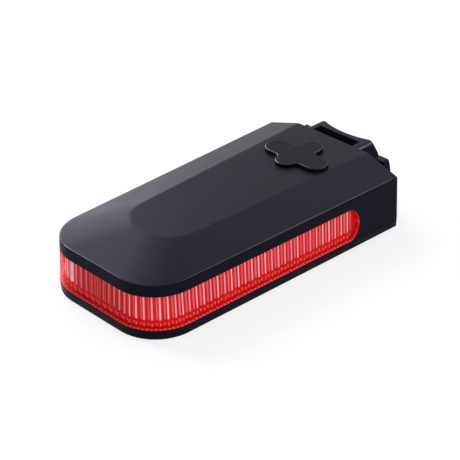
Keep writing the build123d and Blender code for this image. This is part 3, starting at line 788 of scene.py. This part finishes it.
def walk(plan, spacing, start):
    """Even steps along a U: (distance from the middle of the tip, point, outward direction)."""
    line = [Vector(p) for p in u_ring(plan, 0.0, start, PATH_STEPS)]
    lengths = [0.0]
    for a, b in zip(line, line[1:]):
        lengths.append(lengths[-1] + (b - a).length)
    total = lengths[-1]
    count = round(total / spacing)
    steps, leg = [], 0
    for k in range(count + 1):
        here = total * k / count
        while leg < len(line) - 2 and lengths[leg + 1] < here:
            leg += 1
        a, b = line[leg], line[leg + 1]
        share = (here - lengths[leg]) / (lengths[leg + 1] - lengths[leg])
        along = (b - a).normalized()
        steps.append((here - total / 2, a + (b - a) * share, Vector((along.y, -along.x))))
    return steps


lens_walk = walk(CASE, LENS_STEP, LENS_END_BACK + LENS_END_GAP)
PATH_END = lens_walk[-1][0]
print("lens path:", round(2 * PATH_END, 1), "mm in", len(lens_walk), "steps")

# %% [markdown]
# Each step of the lens has a column of points on its skin and one on its wall, squeezed together
# where the round ends make them shorter. A flute is one wave of a cosine along the path, which is
# simple and close to the mark of a round cutter.

# %% Heights and flutes of the lens
LENS_LEVELS = (2.02, 2.25, 2.5, 2.75, 3.01, 3.15, 3.29, 3.6, 4.2, 5.0, 6.0, 7.0, 7.8, 8.5)
LENS_FOOT, LENS_GAP = PARTING + 0.02, 0.05
FLUTE_PITCH, FLUTE_PHASE, FLUTE_START = 1.605, 0.48, 1.2


def lens_reach(back):
    """Lowest and highest point of the lens at a distance behind the mount face."""
    half, sag, radius = window_arc()
    off = LENS_END_BACK + radius - back
    inner = radius - LENS_GAP
    flat = off <= radius - sag
    rise = half - LENS_GAP if flat else math.sqrt(max(inner * inner - off * off, 0.0))
    return max(LENS_FOOT, LENS_MIDDLE - rise), LENS_MIDDLE + rise


def lens_heights(back):
    """Heights of the rows, squeezed into the round end."""
    low, high = lens_reach(back)
    share = (high - low) / (LENS_LEVELS[-1] - LENS_LEVELS[0])
    return [low + (level - LENS_LEVELS[0]) * share for level in LENS_LEVELS]


def flute(distance):
    """Share of a flute's depth at a distance along the lens."""
    if PATH_END - abs(distance) < FLUTE_START:
        return 0.0
    return 0.5 - 0.5 * math.cos(2 * math.pi * (distance / FLUTE_PITCH + FLUTE_PHASE))


print("flutes:", int(2 * (PATH_END - FLUTE_START) / FLUTE_PITCH))

# %% [markdown]
# The skin leans with the wall's draft, to lie flush in its window. The wall behind follows the
# flutes, with a shallow step low down that breaks the lines of light. A UV map holds distance along
# the lens and height, so that a finish can follow the flutes.

# %% Body of the lens
LENS_SKIN_BACK, LENS_DEPTH, FLUTE_DEPTH = 0.03, 1.2, 0.25
BREAK_HEIGHT, BREAK_HALF, BREAK_DEPTH = 3.15, 0.14, 0.2
DRAFT = WALL_DRAFT / (BROW_HEIGHT - PARTING)
LENS_SMOOTH = 40
SKIN, FLUTES, FLOOR, RIM = range(4)


def lens_point(step, height, wall):
    """A point of the outer skin, or of the inner wall, at one step and height."""
    distance, place, outward = step
    inset = LENS_SKIN_BACK + (height - PARTING) * DRAFT
    if wall:
        inset += LENS_DEPTH - FLUTE_DEPTH * flute(distance)
        off = abs(height - BREAK_HEIGHT) / BREAK_HALF
        if off < 1:
            inset += BREAK_DEPTH * (1 - off)
    spot = place - outward * inset
    return Vector((MOUNT_X - spot.x, spot.y, height)) * MM


def lens_mesh():
    """Skin, inner wall, floor, top and round ends, mapped by path length and height."""
    mesh = bmesh.new()
    uv = mesh.loops.layers.uv.new("path")
    skin, wall = [], []
    for step in lens_walk:
        heights = lens_heights(step[1].x)
        for grid, inner in ((skin, False), (wall, True)):
            column = [mesh.verts.new(lens_point(step, height, inner)) for height in heights]
            grid.append([(point, (step[0], height)) for point, height in zip(column, heights)])

    def face(corners, material, heights=None):
        made = mesh.faces.new([corner[0] for corner in corners])
        made.material_index = material
        for k, (loop, corner) in enumerate(zip(made.loops, corners)):
            loop[uv].uv = (corner[1][0], heights[k]) if heights else corner[1]

    for k in range(len(lens_walk) - 1):
        for material, grid in ((SKIN, skin), (FLUTES, wall)):
            for r in range(len(LENS_LEVELS) - 1):
                face((grid[k][r], grid[k + 1][r], grid[k + 1][r + 1], grid[k][r + 1]), material)
        level = all(column[0][1][1] <= LENS_FOOT for column in skin[k:k + 2])
        for material, row in ((FLOOR if level else RIM, 0), (RIM, -1)):
            across = (skin[k][row], skin[k + 1][row], wall[k + 1][row], wall[k][row])
            face(across, material, (1, 1, 0, 0))
    for k in (0, -1):
        face(skin[k] + wall[k][::-1], RIM)
    bmesh.ops.recalc_face_normals(mesh, faces=mesh.faces)
    made = object_from("tail_lens", mesh)
    smooth(made, LENS_SMOOTH)
    return made


lens = lens_mesh()
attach(lens, "case")
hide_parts("lens_band")
print("lens faces:", len(lens.data.polygons))

# %% [markdown]
# The cover over the charging socket is one soft moulding with four lobes. Two crossed bars would
# have sharp inner corners, where rubber tears, so their distances are blended, and the outline is
# where the blend is nothing.

# %% Outline of the rubber cover
FLAP_LENGTH, FLAP_WIDTH = 14.7, 4.9
TAB_WIDTH, TAB_REACH, ANCHOR_REACH = 4.4, 4.9, 6.4
NOTCH_ROUND = 0.9
OUTLINE_POINTS, HALVINGS = 160, 30


def bar_gap(x, y, length, width):
    """Distance outside a round-ended bar along x."""
    over = max(abs(x) - (length - width) / 2, 0.0)
    return math.hypot(over, y) - width / 2


def lobe_gap(x, y):
    """Distance outside the two crossed bars, with their inner corners filled."""
    middle, reach = (ANCHOR_REACH - TAB_REACH) / 2, TAB_REACH + ANCHOR_REACH
    along = bar_gap(x - middle, y, reach, TAB_WIDTH)
    across = bar_gap(y, x, FLAP_LENGTH, FLAP_WIDTH)
    near, far = sorted((along, across))
    blend = max(NOTCH_ROUND - abs(near - far), 0.0) / NOTCH_ROUND
    return near - NOTCH_ROUND * blend * blend / 4


def lobe_outline():
    """Four-lobed outline as a star-shaped line about the middle of the cover."""
    points = []
    for k in range(OUTLINE_POINTS):
        turn = 2 * math.pi * k / OUTLINE_POINTS
        inner, outer = 0.0, FLAP_LENGTH
        for _ in range(HALVINGS):
            middle = (inner + outer) / 2
            if lobe_gap(middle * math.cos(turn), middle * math.sin(turn)) < 0:
                inner = middle
            else:
                outer = middle
        points.append(Vector((inner * math.cos(turn), inner * math.sin(turn))))
    return points


lobes = lobe_outline()
print("cover, middle to longest lobe:", round(max(p.length for p in lobes), 2), "mm")

# %% [markdown]
# Rings go up from the cover's foot, round its edge and over its top, and a plug below keeps rain
# out. One lobe is held in the case and the rest folds up about a thin neck, so the mesh is cut into
# narrow strips there, to bend without a kink.

# %% Rubber cover
FLAP_GAP, FLAP_THICK, FLAP_EDGE, EDGE_TURNS = 0.05, 0.7, 0.22, 5
FOOT_INSET, FOOT_HEIGHT, TOP_INSETS = 0.12, 0.1, (0.45, 0.9)
NECK_BACK, NECK_STEP, NECK_CUTS = 7.9, 0.16, 8
NECK_OFF = 0.01  # keeps the cuts off the outline's own points
PLUG_GAP, PLUG_SINK, PLUG_DEPTH = 0.1, 0.1, 0.95
FLAP_HINGE_BACK, COVER_SMOOTH = 8.2, 50


def cover_mesh():
    outwards = []
    for k in range(OUTLINE_POINTS):
        along = (lobes[(k + 1) % OUTLINE_POINTS] - lobes[k - 1]).normalized()
        outwards.append(Vector((along.y, -along.x)))
    x_mid, y_mid = MOUNT_X - PORT_BACK, PORT_SIDE
    mesh = bmesh.new()

    def ring(inset, level):
        row = []
        for here, out in zip(lobes, outwards):
            spot = here - out * inset
            base = plateau_height(MOUNT_X - (x_mid + spot.x)) + FLAP_GAP
            row.append(mesh.verts.new(Vector((x_mid + spot.x, y_mid + spot.y, base + level)) * MM))
        return row

    rows = [ring(FOOT_INSET, 0.0), ring(0.0, FOOT_HEIGHT)]
    for k in range(EDGE_TURNS + 1):
        turn = math.pi / 2 * k / EDGE_TURNS
        rise = FLAP_THICK - FLAP_EDGE + FLAP_EDGE * math.sin(turn)
        rows.append(ring(FLAP_EDGE * (1 - math.cos(turn)), rise))
    rows += [ring(inset, FLAP_THICK) for inset in TOP_INSETS]
    skin_rows(mesh, rows)
    for k in range(-NECK_CUTS, NECK_CUTS + 1):
        back = NECK_BACK + NECK_OFF + NECK_STEP * k
        bmesh.ops.bisect_plane(
            mesh, geom=mesh.verts[:] + mesh.edges[:] + mesh.faces[:],
            plane_co=Vector((MOUNT_X - back, 0, 0)) * MM, plane_no=(1, 0, 0),
        )
    bmesh.ops.recalc_face_normals(mesh, faces=mesh.faces)
    return object_from("rubber_cover", mesh)


cover = cover_mesh()
plug_top = plateau_height(PORT_BACK) + FLAP_GAP + PLUG_SINK
plug_ends = (plug_top - PLUG_DEPTH, plug_top + PLUG_SINK)
combine(cover, prism_along("plug", port_outline(PLUG_GAP), "z", *plug_ends), "UNION")
smooth(cover, COVER_SMOOTH)
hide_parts("port_cover", "port_cover_anchor")
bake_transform(cover)
print("rubber cover faces:", len(cover.data.polygons))

# %% [markdown]
# The lens's outside mirrors a little and lets the rest through. Near its outline the eye looks
# through more plastic, so it is redder there, and Layer Weight tells how steeply a face is seen.
# Solid coloured glass would be slow and full of noise.

# %% Red lens: outer skin
SKIN_CLEAR, SKIN_RED = srgb(255, 240, 240), srgb(214, 60, 58)
SKIN_IOR = 1.10


def lens_skin():
    look = Finish("lens_skin")
    thick = look.add("LayerWeight", {"Blend": 0.5}).outputs["Facing"]
    tint = look.ramp(thick, (SKIN_CLEAR, 0.0, 0.72), (SKIN_RED, 0.93))
    clear = look.add("BsdfTransparent", {"Color": tint})
    gloss = look.add("BsdfAnisotropic", {"Roughness": look.levels(look.noise(2.5), 0.07, 0.12)})
    waves = look.bump(look.noise(1.8, 1.0), 0.01)
    edge_gloss = look.add("Fresnel", {"IOR": SKIN_IOR, "Normal": waves})
    joins = {0: edge_gloss.outputs[0], 1: clear.outputs[0], 2: gloss.outputs[0]}
    return look.close(look.add("MixShader", joins))


lens_finishes = [lens_skin()]
print("skin mirrors, head on:", round(((SKIN_IOR - 1) / (SKIN_IOR + 1)) ** 2, 4))

# %% [markdown]
# Each flute gathers light into a bright line and a dimmer one. Light that bends through plastic
# takes long to work out, so the lines are painted on the wall. The map tells the place within a
# flute, and a chance number keeps the flutes from being alike.

# %% Red lens: place among the flutes
LENS_RED, LENS_SHADED_RED = srgb(222, 18, 13), srgb(206, 10, 8)
LENS_SHINE, LENS_GLOW = srgb(255, 236, 240), srgb(242, 136, 142)
LENS_PALE, LENS_MARK_LIGHT, LENS_LIT_BAND = srgb(228, 62, 60), srgb(242, 118, 110), srgb(240, 66, 60)
LENS_ROUGH, LENS_UNEVEN, LENS_LEVEL = 0.5, 0.08, 0.15


def flute_phase(look):
    """Path length, height, place within the flute from 0 to 1, and a chance number for it."""
    spot = look.add("SeparateXYZ", {0: look.add("UVMap", uv_map="path").outputs[0]})
    along, height = spot.outputs[0], spot.outputs[1]
    turns = look.math("ADD", look.math("DIVIDE", along, FLUTE_PITCH), FLUTE_PHASE)
    joins = {"W": look.math("FLOOR", turns)}
    chance = look.add("TexWhiteNoise", joins, noise_dimensions="1D").outputs[0]
    return along, height, look.math("FRACT", turns), chance


print("one flute is", FLUTE_PITCH, "mm wide")

# %% [markdown]
# Along the sides each flute gets a painted near-white highlight and a pink one. At the tip these
# painted lines are finer and closer together. The far corner faces the brightest lamp, so a painted
# reflection makes it paler, with two bright streaks. Each is one colour ramp, read along the lens.

# %% Red lens: lines of light
LINE_FADE, PALE_SHARE, GLARE_SHARE = 0.45, 0.4, 0.85
TIP_RED, TIP_LIT = srgb(190, 2, 2), srgb(196, 12, 10)
TIP_DIM, TIP_BRIGHT = srgb(220, 92, 94), srgb(240, 156, 162)
TIP_CLOSER, TIP_SHIFT, TIP_HALF, TIP_FADE = 0.075, -0.27, 7.5, 1.5
CORNER_FROM, CORNER_TO = 6.8, 11.8


def side_lines(look, phase, chance):
    # Painted highlights: a near-white line and a pink one in each flute.
    lines = look.ramp(
        phase, (LENS_RED, 0.0, 0.26), (LENS_PALE, 0.33), (LENS_SHINE, 0.38, 0.52),
        (LENS_RED, 0.58, 0.72), (LENS_GLOW, 0.80, 0.90), (LENS_RED, 0.96),
    )
    return look.blend(look.math("MULTIPLY", chance, LINE_FADE), lines, LENS_RED)


def tip_lines(look, along, phase):
    shifted = look.math("ADD", phase, TIP_SHIFT)
    at_tip = look.math("FRACT", look.math("MULTIPLY_ADD", along, TIP_CLOSER, shifted))
    return look.ramp(
        at_tip, (TIP_DIM, 0.0, 0.03), (TIP_LIT, 0.10, 0.40), (TIP_BRIGHT, 0.47, 0.58),
        (TIP_RED, 0.64, 0.92), (TIP_DIM, 0.98, 1.0),
    )


def far_corner(look, along, lines):
    # Painted reflection of the brightest lamp: a pale wash and two bright streaks over the far
    # corner.
    joins = {"Value": along, "From Min": CORNER_FROM, "From Max": CORNER_TO}
    glare = look.ramp(
        look.add("MapRange", joins).outputs[0], (BLACK, 0.05), (WHITE, 0.12, 0.20),
        (BLACK, 0.27, 0.50), (WHITE, 0.57, 0.68), (BLACK, 0.76),
    )
    starts = look.step(along, CORNER_FROM, CORNER_FROM + 1.5)
    ends = look.step(along, CORNER_TO + 4, CORNER_TO + 1)
    reflection_wash = look.math("MULTIPLY", starts, ends)
    lines = look.blend(look.math("MULTIPLY", reflection_wash, PALE_SHARE), lines, LENS_GLOW)
    return look.blend(look.math("MULTIPLY", glare, GLARE_SHARE), lines, LENS_SHINE)


print("tip lines stand", round(1 / (1 / FLUTE_PITCH + TIP_CLOSER), 2), "mm apart")

# %% [markdown]
# The lines end at the shallow step, and below it each flute shows two short painted highlights. The
# foot is painted darker, as shade where the wall meets the floor, and near both ends, where no
# flutes are, the wall is plain red.

# %% Red lens: fluted wall
LINES_LOW, LINES_HIGH = 3.3, 3.65
MARKS_START, MARKS_FULL, MARKS_FADE, MARKS_END = 2.2, 2.34, 2.76, 2.9
FOOT_LOW, FOOT_HIGH, END_FADE = 2.0, 2.1, 0.1


def flute_wall():
    look = Finish("lens_flutes")
    along, height, phase, chance = flute_phase(look)
    off_middle = look.math("ABSOLUTE", along)
    tip = look.step(off_middle, TIP_HALF + TIP_FADE, TIP_HALF)
    lines = look.blend(tip, side_lines(look, phase, chance), tip_lines(look, along, phase))
    lines = far_corner(look, along, lines)
    colour = look.blend(look.step(height, LINES_LOW, LINES_HIGH), LENS_RED, lines)
    # Painted highlights: two short marks of light in each flute below the step.
    mark_highlights = look.ramp(
        phase, (LENS_RED, 0.0, 0.32), (LENS_MARK_LIGHT, 0.40, 0.52), (LENS_RED, 0.58, 0.78),
        (LENS_MARK_LIGHT, 0.85, 0.96), (LENS_RED, 1.0),
    )
    starts = look.step(height, MARKS_START, MARKS_FULL)
    ends = look.step(height, MARKS_END, MARKS_FADE)
    colour = look.blend(look.math("MULTIPLY", starts, ends), colour, mark_highlights)
    # Painted shade: the foot of the wall darkens where it meets the floor.
    colour = look.blend(look.step(height, FOOT_LOW, FOOT_HIGH), LENS_SHADED_RED, colour)
    last_flute = PATH_END - FLUTE_START
    colour = look.blend(look.step(off_middle, last_flute - END_FADE, last_flute), colour, LENS_RED)
    uneven = look.levels(look.noise(0.8), LENS_ROUGH - LENS_UNEVEN, LENS_ROUGH + LENS_UNEVEN)
    return look.surface(colour, uneven, Specular_IOR_Level=LENS_LEVEL)


lens_finishes.append(flute_wall())
finishes["red_lens"] = lens_finishes[-1]
print("marks under the step are", round(MARKS_END - MARKS_START, 2), "mm tall")

# %% [markdown]
# Through the skin one sees the lens's floor, painted with light and shade: a shaded line at the
# wall, then a lit band with two painted highlights to each flute. The thick ends are plain red,
# painted darker towards the wall and lighter at the skin, and sparkle faintly with painted glints
# where their edge catches light.

# %% Red lens: floor and thick ends
SPOT_SHARE, SPARKLE_SIZE, SPARKLE_SHARE = 0.55, 0.7, 0.7


def lens_floor():
    look = Finish("lens_floor")
    _, across, phase, chance = flute_phase(look)
    # Painted light: a shaded line at the wall, a lit band towards the skin and highlight spots in
    # each flute.
    band = look.ramp(across, (LENS_RED, 0.0), (LENS_SHADED_RED, 0.12, 0.36), (LENS_LIT_BAND, 0.5, 1.0))
    half_flute = look.math("FRACT", look.math("MULTIPLY", phase, 2.0))
    spot_highlights = look.ramp(half_flute, (WHITE, 0.0), (BLACK, 0.25, 0.7), (WHITE, 0.95))
    bright = look.math("MULTIPLY", spot_highlights, look.step(across, 0.45, 0.6))
    colour = look.blend(look.math("MULTIPLY", bright, SPOT_SHARE), band, LENS_SHINE)
    uneven = look.levels(chance, LENS_ROUGH - LENS_UNEVEN, LENS_ROUGH + LENS_UNEVEN)
    return look.surface(colour, uneven, Specular_IOR_Level=LENS_LEVEL)


def lens_rim():
    look = Finish("lens_rim")
    across = flute_phase(look)[1]
    # Painted light: darker towards the wall, lighter at the skin, with painted glints.
    sparkle = look.ramp(look.noise(SPARKLE_SIZE, 1.0), (BLACK, 0.5), (WHITE, 0.68))
    colour = look.ramp(across, (LENS_SHADED_RED, 0.0), (LENS_RED, 0.6), (LENS_LIT_BAND, 0.78, 1.0))
    glint = look.math("MULTIPLY", sparkle, look.step(across, 0.5, 0.9))
    colour = look.blend(look.math("MULTIPLY", glint, SPARKLE_SHARE), colour, LENS_GLOW)
    uneven = look.levels(sparkle, LENS_ROUGH - 0.1, LENS_ROUGH)
    return look.surface(colour, uneven, Specular_IOR_Level=LENS_LEVEL)


lens_finishes += [lens_floor(), lens_rim()]
print("lens finishes:", len(lens_finishes))

# %% [markdown]
# Every imported piece gets the finish that the record names. The lens already knows which face is
# skin, wall, floor or rim. On the shell and the cover it goes by how far a face leans: level,
# turned or upright. Turned faces take the lit copy that paints a highlight, and the shell's upright
# sides take the shaded copy.

# %% Finishes on the pieces
EDGE_LEAN = (0.10, 0.30)


def dress(target, *choices):
    target.data.materials.clear()
    for finish in choices:
        target.data.materials.append(finish)


def dress_by_lean(target, choices):
    dress(target, *choices)
    for face in target.data.polygons:
        lean = 1 - abs(face.normal.z)
        face.material_index = sum(lean > limit for limit in EDGE_LEAN)


for piece in frame["record"]["subparts"]:
    dress(frame["nodes"][piece["node"]], finishes[piece["material_slot"]])
dress(frame["nodes"]["front_cover"], lid_finish)
dress_by_lean(shell, case_finishes)
dress_by_lean(cover, cover_finishes)
for finish in lens_finishes:
    lens.data.materials.append(finish)

# %% [markdown]
# The light stands on pale paper that takes its soft shadow. Lit paper looks grey, so most of what
# the camera or a reflection sees of it is plain white. It lies a hair below the case, so that they
# share no surface.

# %% Floor
FLOOR_HALF, FLOOR_DROP = 1.5, 0.00002
PAPER_LOW, PAPER_HIGH = (0.90, 0.90, 0.90, 1), (0.92, 0.92, 0.92, 1)
PAPER_FIBRE, WHITE_SHARE = 3.0, 0.75


def white_paper():
    look = Finish("white_paper")
    fibre = look.noise(PAPER_FIBRE)
    sheet = look.add("BsdfPrincipled", {
        "Base Color": look.ramp(fibre, (PAPER_LOW, NOISE_LOW), (PAPER_HIGH, NOISE_HIGH)),
        "Roughness": look.levels(fibre, 0.85, 0.95),
        "Specular IOR Level": 0.1,
    })
    path = look.add("LightPath").outputs
    seen = look.math("ADD", path["Is Camera Ray"], path["Is Glossy Ray"])
    seen = look.math("ADD", seen, path["Is Transmission Ray"])
    share = look.math("MULTIPLY", look.math("MINIMUM", seen, 1.0), WHITE_SHARE)
    glow = look.add("Emission", {"Color": WHITE, "Strength": 1.0})
    joins = {0: share, 1: sheet.outputs[0], 2: glow.outputs[0]}
    return look.close(look.add("MixShader", joins))


floor_mesh = bpy.data.meshes.new("floor")
corners = [(x * FLOOR_HALF, y * FLOOR_HALF, 0) for x, y in ((-1, -1), (1, -1), (1, 1), (-1, 1))]
floor_mesh.from_pydata(corners, [], [(0, 1, 2, 3)])
floor_mesh.materials.append(white_paper())
floor = bpy.data.objects.new("floor", floor_mesh)
bpy.context.scene.collection.objects.link(floor)
floor.location.z = -FLOOR_DROP
print("floor:", 2 * FLOOR_HALF, "m square")
